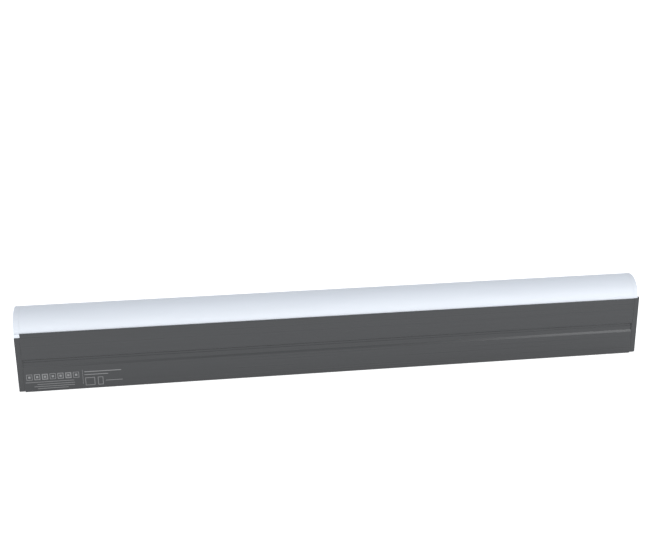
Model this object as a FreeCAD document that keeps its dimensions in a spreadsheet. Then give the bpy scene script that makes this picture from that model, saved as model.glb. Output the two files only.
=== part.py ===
"""LED strip batten: an extruded aluminium housing with a half-round opal diffuser, two machined end plates
that carry the sockets, a row of LED boards on an inner shelf, and the supply and controller on a tray below.

Frame: millimetres, X along the batten, front face towards -Y, +Z up, origin at the middle of the base.
"""
import FreeCAD, Part
import math
import os
import Sketcher
from FreeCAD import Rotation, Vector

doc = FreeCAD.newDocument("led_batten")
sheet = doc.addObject("Spreadsheet::Sheet", "Sizes")


# ---------------------------------------------------------------- driving dimensions

class Size:
    """A number together with the formula that gives it from the sheet, so both can be worked with at once."""

    def __init__(self, value, formula):
        self.value = value
        self.formula = formula

    def combine(self, other, sign, flip=False):
        other = other if isinstance(other, Size) else Size(other, repr(other))
        a, b = (other, self) if flip else (self, other)
        sums = {"+": a.value + b.value, "-": a.value - b.value, "*": a.value * b.value}
        value = a.value / b.value if sign == "/" else sums[sign]
        return Size(value, f"({a.formula} {sign} {b.formula})")

    def __add__(self, other):
        return self.combine(other, "+")

    def __radd__(self, other):
        return self.combine(other, "+", True)

    def __sub__(self, other):
        return self.combine(other, "-")

    def __rsub__(self, other):
        return self.combine(other, "-", True)

    def __mul__(self, other):
        return self.combine(other, "*")

    def __rmul__(self, other):
        return self.combine(other, "*", True)

    def __truediv__(self, other):
        return self.combine(other, "/")

    def __neg__(self):
        return self.combine(-1, "*")


DIMENSIONS = {
    # overall
    "overall_length": 1000, "body_width": 68, "body_height": 96, "wall": 2.5, "base_chamfer": 0.8,
    # end plates: the left one is lower and carries the diffuser's foot, the right one has a raised rim
    "plate_thick": 8, "gasket_thick": 1, "gasket_inset": 0.4, "plate_base_gap": 1, "plate_chamfer": 1.5,
    "left_drop": 6, "rim_thick": 1.5, "rim_rise": 2.5, "rim_chamfer": 1.2,
    "plate_screw_radius": 2, "plate_screw_length": 16, "head_radius": 3.5, "head_height": 4,
    "key_radius": 1.6, "key_depth": 2,
    # clip grooves along both sides: a deep upper part, a step, a shallower floor and a ramp back to the face
    "clip_level": 46, "clip_height": 15, "clip_depth": 2, "clip_hook": 1.5, "clip_land": 3, "clip_step": 0.5,
    "clip_ramp": 3.5, "clip_skin": 2,
    # T-slot in the base
    "slot_recess": 15, "recess_depth": 1.5, "slot_mouth": 8.2, "slot_lip": 2.5,
    "cavity_width": 13.5, "cavity_depth": 5.7, "slot_skin": 2,
    # shelf for the LED boards, and the diffuser's seat above it
    "shelf_drop": 14.5, "shelf_thick": 2.5, "rib_width": 1.2, "rib_height": 2.2,
    "seat_lip": 1.5, "seat_drop": 3.4, "seat_wall": 4, "groove_drop": 8, "groove_height": 3, "groove_depth": 2,
    # screw ports and tray rails in the lower bay
    "port_block": 10.5, "port_inset": 6.3, "tray_clear": 0.5,
    "rail_gap": 1.8, "rail_thick": 2, "rail_reach": 2.5,
    # diffuser
    "diffuser_wall": 2.5, "seal_thick": 1, "spigot_length": 6, "spigot_wall": 2,
    # LED boards
    "board_width": 30, "board_thick": 1.6, "board_gap": 1, "board_margin": 4, "pad_thick": 0.5,
    "emitter": 5, "emitter_height": 1.6, "board_screw_radius": 1.5, "board_screw_head": 2.8,
    "link_length": 12, "link_width": 6, "link_height": 2.5, "feed_hole": 3.2, "terminal_height": 2,
    "reflector_thick": 0.5,
    # tray, supply and controller
    "tray_thick": 1.5, "tray_margin": 1, "fixing_radius": 1.25, "fixing_head": 2.4, "fixing_head_thick": 1,
    "supply_length": 230, "supply_height": 30, "supply_start": 170, "supply_sheet": 1.2, "supply_inset": 3.6,
    "controller_length": 150, "controller_gap": 2.3, "controller_offset": 110, "controller_room": 9,
    "standoff_height": 6, "standoff_radius": 2.5, "circuit_thick": 1.6, "cable_way": 10.2,
    # sockets: a round barrel behind a flange, seated in a recess of the end plate
    "barrel_radius": 12, "barrel_wall": 3.4, "barrel_length": 26, "flange_side": 1, "flange_end": 3.5,
    "flange_thick": 2, "flange_sink": 1.5, "plug_depth": 17, "insert_step": 1, "insert_length": 9,
    "insert_back": 1.5, "contact_radius": 1.3, "pin_reach": 10,
    "flange_screw_inset": 3.2, "flange_screw_radius": 1.5, "flange_screw_length": 5.3,
    "flange_screw_head": 2.6, "flange_screw_height": 1.4,
    "latch_width": 5.8, "latch_thick": 1.8, "latch_length": 13, "latch_pivot": 5.5, "pivot_radius": 0.7,
    "pivot_reach": 0.7, "latch_hook": 1.1, "hook_length": 1.5, "latch_play": 1.3,
    # small parts in the end plates
    "bezel_radius": 4.4, "bezel_length": 10, "bezel_rim": 5.2, "bezel_rim_thick": 1, "button_radius": 3,
    "button_travel": 1, "button_collar": 0.8, "switch_width": 11, "switch_length": 9,
    "light_radius": 2, "light_length": 12, "lamp_width": 8, "lamp_length": 7,
    "vent_radius": 4, "vent_head": 5.5, "vent_head_thick": 2, "airway_radius": 0.6,
    "insert_radius": 5, "insert_rim": 6.3, "insert_rim_thick": 1.5, "insert_thread": 3.32,
    # slide nuts in the base slot
    "nut_length": 22, "nut_height": 5, "nut_boss": 2.4, "nut_thread": 3.32, "nut_station": 250,
    # cables
    "mains_radius": 3, "data_radius": 2.5, "clip_length": 8, "clip_lift": 4,
    # clearances
    "fit": 0.2, "hole_fit": 0.25, "slip": 0.05,
}

sizes = {}
for row, (name, number) in enumerate(DIMENSIONS.items(), start=1):
    sheet.set(f"A{row}", name)
    sheet.set(f"B{row}", str(number))
    sheet.setAlias(f"B{row}", name)
doc.recompute()
for name in DIMENSIONS:
    sizes[name] = Size(float(sheet.get(name)), f"Sizes.{name}")


def s(name):
    return sizes[name]


fit = s("fit")
slip = s("slip")
half_length = s("overall_length") / 2
half_width = s("body_width") / 2
top = s("body_height")
end_stack = s("plate_thick") + s("gasket_thick")
housing_half = half_length - end_stack
inner_half = half_width - s("wall")
shelf_top = top - s("shelf_drop")
shelf_low = shelf_top - s("shelf_thick")

# base slot and clip grooves, and the metal left behind them
slot_depth = s("recess_depth") + s("slot_lip") + s("cavity_depth")
boss_depth = slot_depth + s("slot_skin")
boss_half = s("cavity_width") / 2 + s("slot_skin")
clip_top = s("clip_level") + s("clip_height") / 2
clip_low = s("clip_level") - s("clip_height") / 2
bay_half = half_width - s("clip_depth") - s("clip_skin")
ledge = boss_depth + s("tray_clear")

# diffuser seat and groove
seat_half = half_width - s("seat_wall")
lip_half = half_width - s("seat_lip")
seat_level = top - s("seat_drop")
groove_top = top - s("groove_drop")
groove_low = groove_top - s("groove_height")
dome_radius = lip_half - fit
left_top = top - s("left_drop")

# screw ports, tray, and what stands on the tray
port_y = half_width - s("port_inset")
port_levels = (s("port_inset"), shelf_low - s("port_block") / 2 + s("wall") / 2)
rail_low = ledge + s("rail_gap")
rail_top = rail_low + s("rail_thick")
tray_top = ledge + s("tray_thick")
supply_half = inner_half - s("cable_way")
supply_x = s("supply_start") - half_length
controller_x = s("controller_offset")
controller_half = supply_half - s("controller_gap")
fixing_row = (boss_half + supply_half) / 2

# sockets and the small parts beside them
flange_y = s("barrel_radius") + s("flange_side")
flange_z = s("barrel_radius") + s("flange_end")
plug_radius = s("barrel_radius") - s("barrel_wall")
insert_radius = plug_radius - s("insert_step")
power_level = ledge + flange_z - fit
data_level = shelf_low - flange_z - fit
side_column = (flange_y + inner_half) / 2
EMITTERS_PER_BOARD = 12
CONTACTS_IN_JACK = 8
solids = []


# ---------------------------------------------------------------- drawing helpers

def number(value):
    return value.value if isinstance(value, Size) else float(value)


def bind(item, prop, value):
    """Ties a property to the sheet, or sets a plain number."""
    if isinstance(value, Size):
        item.setExpression(prop, value.formula)
    else:
        item.setExpression(prop, repr(float(value)))


def place(item, x, y, z):
    for axis, value in zip("xyz", (x, y, z)):
        bind(item, f"Placement.Base.{axis}", value)


def keep(item, label):
    """Marks an object as a finished piece and names it."""
    item.Label = label
    solids.append(item)
    return item


def block(name, low, high):
    item = doc.addObject("Part::Box", name)
    place(item, *low)
    for prop, a, b in zip(("Length", "Width", "Height"), low, high):
        bind(item, prop, b - a)
    return item


TURNS = {"x": Rotation(Vector(0, 1, 0), 90), "y": Rotation(Vector(1, 0, 0), -90), "z": Rotation()}


def rod(name, radius, start, length, along="x"):
    """Cylinder from start, running in the positive direction of an axis."""
    item = doc.addObject("Part::Cylinder", name)
    item.Placement.Rotation = TURNS[along]
    place(item, *start)
    bind(item, "Radius", radius)
    bind(item, "Height", length)
    return item


def half_round(name, radius, start, length):
    """Upper half of a cylinder along X."""
    item = doc.addObject("Part::Cylinder", name)
    item.Placement.Rotation = Rotation(Vector(0, 1, 0), Vector(0, 0, 1), Vector(1, 0, 0), "ZXY")
    item.Angle = 180
    place(item, *start)
    bind(item, "Radius", radius)
    bind(item, "Height", length)
    return item


def join(name, *items):
    whole = doc.addObject("Part::MultiFuse", name)
    whole.Shapes = list(items)
    whole.Refine = True
    return whole


def carve(name, base, *tools):
    left = doc.addObject("Part::Cut", name)
    left.Base = base
    left.Tool = tools[0] if len(tools) == 1 else join(name + "_tools", *tools)
    left.Refine = True
    return left


def group(name, *items):
    whole = doc.addObject("Part::Compound", name)
    whole.Links = list(items)
    return keep(whole, name)


def section(body, name, start, outlines=(), circles=()):
    """Sketch across the batten at X = start: closed outlines of (y, z) corners, circles of (y, z, radius)."""
    sketch = body.newObject("Sketcher::SketchObject", name)
    plane = [o for o in body.Origin.OriginFeatures if o.Role == "YZ_Plane"][0]
    sketch.AttachmentSupport = [(plane, "")]
    sketch.MapMode = "FlatFace"
    bind(sketch, "AttachmentOffset.Base.z", start)

    def pin(kind, geometry, point, value):
        at = sketch.addConstraint(Sketcher.Constraint(kind, -1, 1, geometry, point, number(value)))
        bind(sketch, f"Constraints[{at}]", value)

    for corners in outlines:
        first = sketch.GeometryCount
        count = len(corners)
        ends = [Vector(number(y), number(z), 0) for y, z in corners]
        for i in range(count):
            sketch.addGeometry(Part.LineSegment(ends[i], ends[(i + 1) % count]), False)
        for i in range(count):
            sketch.addConstraint(Sketcher.Constraint("Coincident", first + i, 2, first + (i + 1) % count, 1))
        for i, (y, z) in enumerate(corners):
            pin("DistanceX", first + i, 1, y)
            pin("DistanceY", first + i, 1, z)
    for y, z, radius in circles:
        centre = Vector(number(y), number(z), 0)
        ring = sketch.addGeometry(Part.Circle(centre, Vector(0, 0, 1), number(radius)), False)
        pin("DistanceX", ring, 3, y)
        pin("DistanceY", ring, 3, z)
        at = sketch.addConstraint(Sketcher.Constraint("Radius", ring, number(radius)))
        bind(sketch, f"Constraints[{at}]", radius)
    return sketch


def extrude(body, name, start, length, outlines=(), circles=()):
    """Adds material from X = start, along +X."""
    item = body.newObject("PartDesign::Pad", name)
    item.Profile = section(body, name + "_sketch", start, outlines, circles)
    bind(item, "Length", length)
    return item


pockets = []


def mill(body, name, start, length, outlines=(), circles=()):
    """Removes material from X = start, along +X."""
    item = body.newObject("PartDesign::Pocket", name)
    item.Profile = section(body, name + "_sketch", start, outlines, circles)
    item.Reversed = True
    bind(item, "Length", length)
    pockets.append(item)
    return item


def rectangle(y_low, z_low, y_high, z_high):
    return [(y_low, z_low), (y_high, z_low), (y_high, z_high), (y_low, z_high)]


def both_sides(half):
    """Closes an outline drawn from bottom to top on the +Y side by its mirror image."""
    return list(half) + [(-y, z) for y, z in reversed(half)]


def end_span(side, near, far):
    """X from low to high between two depths measured inwards from an end of the batten; side is -1 or 1."""
    if side > 0:
        return half_length - far, half_length - near
    return near - half_length, far - half_length


# ---------------------------------------------------------------- housing

def slot_outline():
    """T-slot in the base, with bevelled edges."""
    recess, mouth, cavity = s("slot_recess") / 2, s("slot_mouth") / 2, s("cavity_width") / 2
    floor = s("recess_depth")
    lip = floor + s("slot_lip")
    return both_sides([(recess, 0), (recess - floor, floor), (mouth, floor), (mouth, lip), (cavity, lip),
                       (cavity, slot_depth)])


def clip_outlines():
    """Clip grooves in the rear and front faces: a bracket hooks under the top edge and snaps over the ramp."""
    deep, hook, land, step = s("clip_depth"), s("clip_hook"), s("clip_land"), s("clip_step")
    shallow = deep - step
    low_land = clip_top - hook - land
    pairs = [(0, clip_top), (deep, clip_top - hook), (deep, low_land), (shallow, low_land - step),
             (shallow, clip_low + s("clip_ramp")), (0, clip_low)]
    return [[(side * (half_width - depth), level) for depth, level in pairs] for side in (-1, 1)]


def bay_side(rails=True):
    """Half of the bay's outline above the tray's ledge, clear of the clip groove and the upper screw ports."""
    rail_edge = inner_half - s("rail_reach")
    low_skin, high_skin = clip_low - s("clip_skin"), clip_top + s("clip_skin")
    port_edge = half_width - s("port_block")
    high_port = shelf_low - s("port_block") + s("wall")
    rail = [(inner_half, rail_low), (rail_edge, rail_low), (rail_edge, rail_top), (inner_half, rail_top)]
    return [(inner_half, ledge)] + (rail if rails else []) + [
        (inner_half, low_skin), (bay_half, low_skin), (bay_half, high_skin), (inner_half, high_skin),
        (inner_half, high_port), (port_edge, high_port), (port_edge, shelf_low),
    ]


def bay_outline():
    """Lower bay down to the base, where it clears the base slot and the lower screw ports."""
    port_edge = half_width - s("port_block")
    low = [(boss_half, boss_depth), (boss_half, s("wall")), (port_edge, s("wall")), (port_edge, ledge)]
    return both_sides(low + bay_side())


def channel_outline():
    """Channel above the shelf: ribs beside the LED boards, grooves for the diffuser's feet, and its seat."""
    rib = s("board_width") / 2 + 1.5 * fit
    rib_out = rib + s("rib_width")
    rib_top = shelf_top + s("rib_height")
    groove_half = seat_half + s("groove_depth")
    over = top + s("wall")
    return both_sides([
        (rib, shelf_top), (rib, rib_top), (rib_out, rib_top), (rib_out, shelf_top), (seat_half, shelf_top),
        (seat_half, groove_low), (groove_half, groove_low), (groove_half, groove_top), (seat_half, groove_top),
        (seat_half, seat_level), (lip_half, seat_level), (lip_half, over),
    ])


def port_circles(radius):
    return [(side * port_y, level, radius) for side in (-1, 1) for level in port_levels]


def board_run():
    """X where each of the four LED boards begins, their common length, and the pitch of their emitters."""
    pitch = (2 * housing_half - 2 * s("board_margin") + s("board_gap")) / 4
    length = pitch - s("board_gap")
    starts = [s("board_margin") - housing_half + i * pitch for i in range(4)]
    return starts, length, length / EMITTERS_PER_BOARD


def board_screw_stations():
    """X of the two screws of each board, midway between neighbouring emitters."""
    starts, _, pitch = board_run()
    return [start + pitch * n for start in starts for n in (2, EMITTERS_PER_BOARD - 2)]


def feed_station():
    """X where the boards' supply lead comes up through the shelf, between the third board's first emitters."""
    starts, _, pitch = board_run()
    return starts[2] + pitch


def make_housing():
    body = doc.addObject("PartDesign::Body", "housing_extrusion")
    full = 2 * housing_half
    cut = s("base_chamfer")
    shell = both_sides([(half_width - cut, 0), (half_width, cut), (half_width, top)])
    extrude(body, "outer_shell", -housing_half, full, [shell])
    mill(body, "base_slot", -housing_half, full, [slot_outline()])
    mill(body, "clip_grooves", -housing_half, full, clip_outlines())
    mill(body, "electronics_bay", -housing_half, full, [bay_outline()])
    mill(body, "diffuser_channel", -housing_half, full, [channel_outline()])
    mill(body, "screw_ports", -housing_half, full, circles=port_circles(s("plate_screw_radius") + slip))
    low, depth = shelf_low - s("wall"), s("shelf_thick") + 2 * s("wall")
    holes = [rod(f"shelf_hole_{i}", s("board_screw_radius") + slip, (x, 0, low), depth, "z")
             for i, x in enumerate(board_screw_stations())]
    feed = rod("shelf_feed_hole", s("feed_hole"), (feed_station(), 0, low), depth, "z")
    keep(carve("housing_drilled", body, feed, *holes), "housing")


# ---------------------------------------------------------------- end plates, gaskets and their screws

def flange_screw_circles(radius):
    """Two screws in opposite corners of each socket flange, the power socket's first."""
    y, z = flange_y - s("flange_screw_inset"), flange_z - s("flange_screw_inset")
    return [(sign * y, level + sign * z, radius) for level in (power_level, data_level) for sign in (-1, 1)]


def make_end_plate(side, label):
    high = left_top if side < 0 else top
    body = doc.addObject("PartDesign::Body", label + "_milled")
    low_x, _ = end_span(side, 0, s("plate_thick"))
    cut, base = s("plate_chamfer"), s("plate_base_gap")
    slab = both_sides([(half_width - cut, base), (half_width, base + cut), (half_width, high)])
    extrude(body, label + "_slab", low_x, s("plate_thick"), [slab])
    if side > 0:
        bevel, rim_top = s("rim_chamfer"), high + s("rim_rise")
        rim_x, _ = end_span(side, 0, s("rim_thick"))
        rim = both_sides([(half_width, high - bevel), (half_width, rim_top - bevel),
                          (half_width - bevel, rim_top)])
        extrude(body, label + "_rim", rim_x, s("rim_thick"), [rim])

    def from_face(name, near, far, **shapes):
        x0, x1 = end_span(side, near, far)
        mill(body, f"{label}_{name}", x0, x1 - x0, **shapes)

    gap, through = s("hole_fit"), s("plate_thick")
    sink = s("flange_sink") + s("flange_thick")
    head_depth, vent_depth = s("head_height") + fit, s("vent_head_thick") + fit
    for name, at in (("power", power_level), ("data", data_level)):
        seat = rectangle(-flange_y - gap, at - flange_z - gap, flange_y + gap, at + flange_z + gap)
        from_face(f"{name}_flange_seat", 0, sink, outlines=[seat])
        from_face(f"{name}_barrel_hole", sink, through, circles=[(0, at, s("barrel_radius") + gap)])
    from_face("screw_holes", 0, through, circles=port_circles(s("plate_screw_radius") + gap))
    from_face("head_seats", 0, head_depth, circles=port_circles(s("head_radius") + gap))
    from_face("thread_holes", sink, through, circles=flange_screw_circles(s("flange_screw_radius") + slip))
    from_face("insert_hole", 0, through, circles=[(-side_column, power_level, s("insert_radius"))])
    if side < 0:
        button, light, vent = (side_column, data_level), (-side_column, data_level), (side_column, power_level)
        from_face("button_hole", 0, through, circles=[(*button, s("bezel_radius") + slip)])
        from_face("rim_seat", 0, s("bezel_rim_thick"), circles=[(*button, s("bezel_rim") + gap)])
        from_face("light_hole", 0, through, circles=[(*light, s("light_radius") + slip)])
        from_face("vent_hole", 0, through, circles=[(*vent, s("vent_radius") + slip)])
        from_face("vent_seat", 0, vent_depth, circles=[(*vent, s("vent_head") + gap)])
    keep(body, label)


def make_gasket(side, label):
    high = left_top if side < 0 else top
    inset = s("gasket_inset")
    body = doc.addObject("PartDesign::Body", label + "_cut")
    x, _ = end_span(side, s("plate_thick"), end_stack)
    base = s("plate_base_gap") + s("plate_chamfer")
    outer = rectangle(inset - half_width, base, half_width - inset, high - inset)
    extrude(body, label + "_sheet", x, s("gasket_thick"), [outer])
    mill(body, label + "_opening", x, s("gasket_thick"), [both_sides(bay_side(rails=False))])
    holes = port_circles(s("plate_screw_radius") + s("hole_fit"))
    mill(body, label + "_holes", x, s("gasket_thick"), circles=holes)
    keep(body, label)


def socket_head_screw(name, side, y, z, depth, radius, length, head, height):
    """Screw pointing inwards, with the face of its head at the given depth below the end of the batten."""
    x0, x1 = end_span(side, depth, depth + height)
    s0, s1 = end_span(side, depth, depth + height + length)
    k0, k1 = end_span(side, depth, depth + s("key_depth") * height / s("head_height"))
    whole = join(name + "_blank", rod(name + "_head", head, (x0, y, z), x1 - x0),
                 rod(name + "_shank", radius, (s0, y, z), s1 - s0))
    key = rod(name + "_key", s("key_radius") * head / s("head_radius"), (k0, y, z), k1 - k0)
    return carve(name, whole, key)


def make_plate_screws(side, label):
    group(label, *[
        socket_head_screw(f"{label}_{i}", side, y, z, fit, s("plate_screw_radius"), s("plate_screw_length"),
                          s("head_radius"), s("head_height"))
        for i, (y, z, _) in enumerate(port_circles(0))])


# ---------------------------------------------------------------- diffuser

def make_diffuser():
    start, full = -housing_half, 2 * housing_half
    end = start + full
    wall = s("diffuser_wall")
    inner = dome_radius - wall
    shoulder = seat_level + s("seal_thick")
    leg_out = seat_half - fit
    leg_in = leg_out - wall
    foot_out = seat_half + s("groove_depth") - fit
    dome = carve("diffuser_dome", half_round("dome_outer", dome_radius, (start, 0, top), full),
                 half_round("dome_inner", inner, (start, 0, top), full))
    pieces = [dome]
    for part, a, b, low, high in (("skirt", inner, dome_radius, shoulder, top),
                                  ("leg", leg_in, leg_out, groove_low + fit, top),
                                  ("foot", leg_in, foot_out, groove_low + fit, groove_top - fit)):
        pieces.append(block(f"{part}_rear", (start, a, low), (end, b, high)))
        pieces.append(block(f"{part}_front", (start, -b, low), (end, -a, high)))
    keep(join("diffuser_extrusion", *pieces), "diffuser")

    a, b = seat_half + fit, lip_half - fit
    group("diffuser_seals", block("seal_rear", (start, a, seat_level), (end, b, shoulder)),
          block("seal_front", (start, -b, seat_level), (end, -a, shoulder)))


def make_diffuser_cap(side, label):
    """Half-disc that closes the diffuser. The left one's foot fills the step over the lower end plate, and the
    right one stops at the raised rim."""
    inner = dome_radius - s("diffuser_wall") - fit
    if side < 0:
        x0, x1 = -half_length, -housing_half
        s0, s1 = x1, x1 + s("spigot_length")
    else:
        x0, x1 = housing_half, half_length - s("rim_thick") - fit
        s0, s1 = x0 - s("spigot_length"), x0
    disc = half_round(label + "_disc", dome_radius, (x0, 0, top), x1 - x0)
    spigot = carve(label + "_spigot", half_round(label + "_plug", inner, (s0, 0, top), s1 - s0),
                   half_round(label + "_hollow", inner - s("spigot_wall"), (s0, 0, top), s1 - s0))
    pieces = [disc, spigot]
    if side < 0:
        pieces.append(block(label + "_foot", (x0, -half_width, left_top), (x1, half_width, top)))
    keep(join(label + "_whole", *pieces), label)


# ---------------------------------------------------------------- LED boards

def make_light_engine():
    starts, length, pitch = board_run()
    stations, feed_x = board_screw_stations(), feed_station()
    pad_top = shelf_top + s("pad_thick")
    board_top = pad_top + s("board_thick")
    half = s("board_width") / 2
    hole = s("board_screw_radius") + s("hole_fit")
    size = s("emitter") / 2

    pad_holes = [rod(f"pad_hole_{i}", hole, (x, 0, shelf_top), s("pad_thick"), "z")
                 for i, x in enumerate(stations)]
    pad_holes.append(rod("pad_feed_hole", s("feed_hole"), (feed_x, 0, shelf_top), s("pad_thick"), "z"))
    pad = block("pad_sheet", (starts[0], -half, shelf_top), (starts[3] + length, half, pad_top))
    keep(carve("pad_cut", pad, *pad_holes), "thermal_pad")

    emitters = []
    for n, start in enumerate(starts):
        holes = [rod(f"board_{n}_hole_{i}", hole, (x, 0, pad_top), s("board_thick"), "z")
                 for i, x in enumerate(stations[2 * n:2 * n + 2])]
        if n == 2:
            holes.append(rod("board_feed_hole", s("feed_hole"), (feed_x, 0, pad_top), s("board_thick"), "z"))
        sheet_blank = block(f"board_{n}_sheet", (start, -half, pad_top), (start + length, half, board_top))
        keep(carve(f"board_{n}_cut", sheet_blank, *holes), f"led_board_{n + 1}")
        for i in range(EMITTERS_PER_BOARD):
            x = start + pitch * (i + 0.5)
            emitters.append(block(f"emitter_{n}_{i}", (x - size, -size, board_top),
                                  (x + size, size, board_top + s("emitter_height"))))
    group("led_emitters", *emitters)

    grip = s("board_thick") + s("pad_thick") + s("shelf_thick")
    group("led_board_screws", *[
        join(f"board_screw_{i}",
             rod(f"board_screw_{i}_head", s("board_screw_head"), (x, 0, board_top), s("board_thick"), "z"),
             rod(f"board_screw_{i}_shank", s("board_screw_radius"), (x, 0, board_top - grip), grip, "z"))
        for i, x in enumerate(stations)])

    reach, side = s("link_length") / 2, half - fit
    joints = [start - s("board_gap") / 2 for start in starts[1:]]
    links = [block(f"link_{i}", (x - reach, side - s("link_width"), board_top),
                   (x + reach, side, board_top + s("link_height"))) for i, x in enumerate(joints)]
    terminal = s("feed_hole") + s("board_gap")
    links.append(block("feed_terminal", (feed_x - terminal, -terminal, board_top),
                       (feed_x + terminal, terminal, board_top + s("terminal_height"))))
    group("led_board_connectors", *links)


def make_reflectors():
    """White strips that slope from the ribs beside the boards up to the diffuser's legs."""
    rise = 2 * s("reflector_thick")
    low_y = s("board_width") / 2 + 2.5 * fit + s("rib_width")
    high_y = seat_half - s("diffuser_wall") - 2 * fit
    margin = s("board_margin")
    strips = []
    for side, tag in ((1, "rear"), (-1, "front")):
        body = doc.addObject("PartDesign::Body", f"reflector_{tag}")
        corners = [(side * low_y, shelf_top), (side * (low_y + rise), shelf_top),
                   (side * high_y, seat_level - rise), (side * high_y, seat_level)]
        run = 2 * housing_half - 2 * margin
        extrude(body, f"reflector_{tag}_strip", margin - housing_half, run, [corners])
        strips.append(body)
    group("reflector_strips", *strips)


# ---------------------------------------------------------------- tray, supply and controller

def supply_fixings():
    """X and y of the four pillars that hold the supply, near its ends and outside the base slot's boss."""
    inset = s("supply_inset") + s("standoff_radius")
    ends = (supply_x + inset, supply_x + s("supply_length") - inset)
    return [(x, side * fixing_row) for x in ends for side in (-1, 1)]


def controller_fixings():
    inset = 2 * s("standoff_radius")
    ends = (controller_x + inset, controller_x + s("controller_length") - inset)
    return [(x, side * fixing_row) for x in ends for side in (-1, 1)]


def make_tray():
    half = inner_half - fit
    reach = housing_half - s("tray_margin")
    places = supply_fixings() + controller_fixings()
    holes = [rod(f"tray_hole_{i}", s("fixing_radius") + s("hole_fit"), (x, y, ledge), s("tray_thick"), "z")
             for i, (x, y) in enumerate(places)]
    sheet_blank = block("tray_sheet", (-reach, -half, ledge), (reach, half, tray_top))
    keep(carve("tray_drilled", sheet_blank, *holes), "electronics_tray")
    head = s("fixing_head_thick")
    length = s("tray_thick") + s("standoff_height") / 2
    group("tray_screws", *[
        join(f"tray_screw_{i}",
             rod(f"tray_screw_{i}_head", s("fixing_head"), (x, y, ledge - head), head, "z"),
             rod(f"tray_screw_{i}_shank", s("fixing_radius"), (x, y, ledge), length, "z"))
        for i, (x, y) in enumerate(places)])


def make_supply():
    x0, x1 = supply_x, supply_x + s("supply_length")
    half, sheet_thick = supply_half, s("supply_sheet")
    z0, z1 = tray_top, tray_top + s("supply_height")
    board_low = z0 + s("standoff_height")
    board_top = board_low + s("circuit_thick")
    outer = block("supply_outer", (x0, -half, z0), (x1, half, z1 - sheet_thick))
    inner = block("supply_inner", (x0, sheet_thick - half, z0 + sheet_thick), (x1, half - sheet_thick, z1))
    folded = carve("supply_folded", outer, inner)
    pillars = [rod(f"supply_pillar_{i}", s("standoff_radius"), (x, y, z0), s("standoff_height"), "z")
               for i, (x, y) in enumerate(supply_fixings())]
    bores = [rod(f"supply_bore_{i}", s("fixing_radius") + slip, (x, y, z0), s("standoff_height"), "z")
             for i, (x, y) in enumerate(supply_fixings())]
    keep(carve("supply_bored", join("supply_pillared", folded, *pillars), *bores), "supply_case")
    keep(block("supply_lid", (x0, -half, z1 - sheet_thick), (x1, half, z1)), "supply_cover")
    inset = s("supply_inset")
    x0, x1, half = x0 + inset, x1 - inset, half - inset
    keep(block("supply_circuit", (x0, -half, board_low), (x1, half, board_top)), "supply_board")

    # each part as (name, start and end along the board, low and high across it, height): shares of the room
    room = z1 - 2 * sheet_thick - board_top
    length = x1 - x0
    blocks = [("input_terminal", 0.01, 0.06, -0.6, 0.6, 0.45), ("transformer", 0.34, 0.46, -0.55, 0.55, 0.9),
              ("heat_sink", 0.54, 0.85, 0.65, 0.9, 0.9), ("output_terminal", 0.94, 0.99, -0.6, 0.6, 0.45)]
    parts = [block(name, (x0 + start * length, low * half, board_top),
                   (x0 + end * length, high * half, board_top + height * room))
             for name, start, end, low, high, height in blocks]
    for i, along in enumerate((0.15, 0.25, 0.61, 0.72)):
        centre = (x0 + along * length, -0.2 * half, board_top)
        parts.append(rod(f"capacitor_{i}", 0.38 * room, centre, 0.9 * room, "z"))
    group("supply_components", *parts)


def make_controller():
    x0, x1 = controller_x, controller_x + s("controller_length")
    low = tray_top + s("standoff_height")
    high = low + s("circuit_thick")
    places = controller_fixings()
    pillars = [rod(f"standoff_{i}", s("standoff_radius"), (x, y, tray_top), s("standoff_height"), "z")
               for i, (x, y) in enumerate(places)]
    bores = [rod(f"standoff_bore_{i}", s("fixing_radius") + slip, (x, y, tray_top), s("standoff_height"), "z")
             for i, (x, y) in enumerate(places)]
    group("controller_standoffs", *[carve(f"standoff_tube_{i}", pillar, bore)
                                    for i, (pillar, bore) in enumerate(zip(pillars, bores))])
    holes = [rod(f"controller_hole_{i}", s("fixing_radius") + slip, (x, y, low), s("circuit_thick"), "z")
             for i, (x, y) in enumerate(places)]
    circuit = block("controller_circuit", (x0, -controller_half, low), (x1, controller_half, high))
    keep(carve("controller_drilled", circuit, *holes), "controller_board")
    length = s("circuit_thick") + s("standoff_height") / 2 - 2 * fit
    group("controller_screws", *[
        join(f"controller_screw_{i}",
             rod(f"controller_screw_{i}_head", s("fixing_head"), (x, y, high), s("fixing_head_thick"), "z"),
             rod(f"controller_screw_{i}_shank", s("fixing_radius"), (x, y, high - length), length, "z"))
        for i, (x, y) in enumerate(places)])
    # each part as (name, start and end along the board, low and high across it, height): shares of the room
    run, room = s("controller_length"), s("controller_room")
    chips = [("data_header_in", 0.06, 0.12, -0.32, 0.32, 1), ("magnetics", 0.18, 0.27, -0.37, 0.37, 0.66),
             ("memory", 0.31, 0.36, -0.2, 0.32, 0.15), ("processor", 0.4, 0.51, -0.42, 0.42, 0.22),
             ("driver_front", 0.6, 0.65, -0.53, -0.1, 0.18), ("driver_rear", 0.6, 0.65, 0.21, 0.63, 0.18),
             ("power_header", 0.72, 0.79, -0.42, 0.42, 1), ("data_header_out", 0.88, 0.94, -0.32, 0.32, 1)]
    group("controller_components", *[
        block(name, (x0 + start * run, low_y * controller_half, high),
              (x0 + end * run, high_y * controller_half, high + height * room))
        for name, start, end, low_y, high_y, height in chips])


# ---------------------------------------------------------------- sockets

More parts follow.
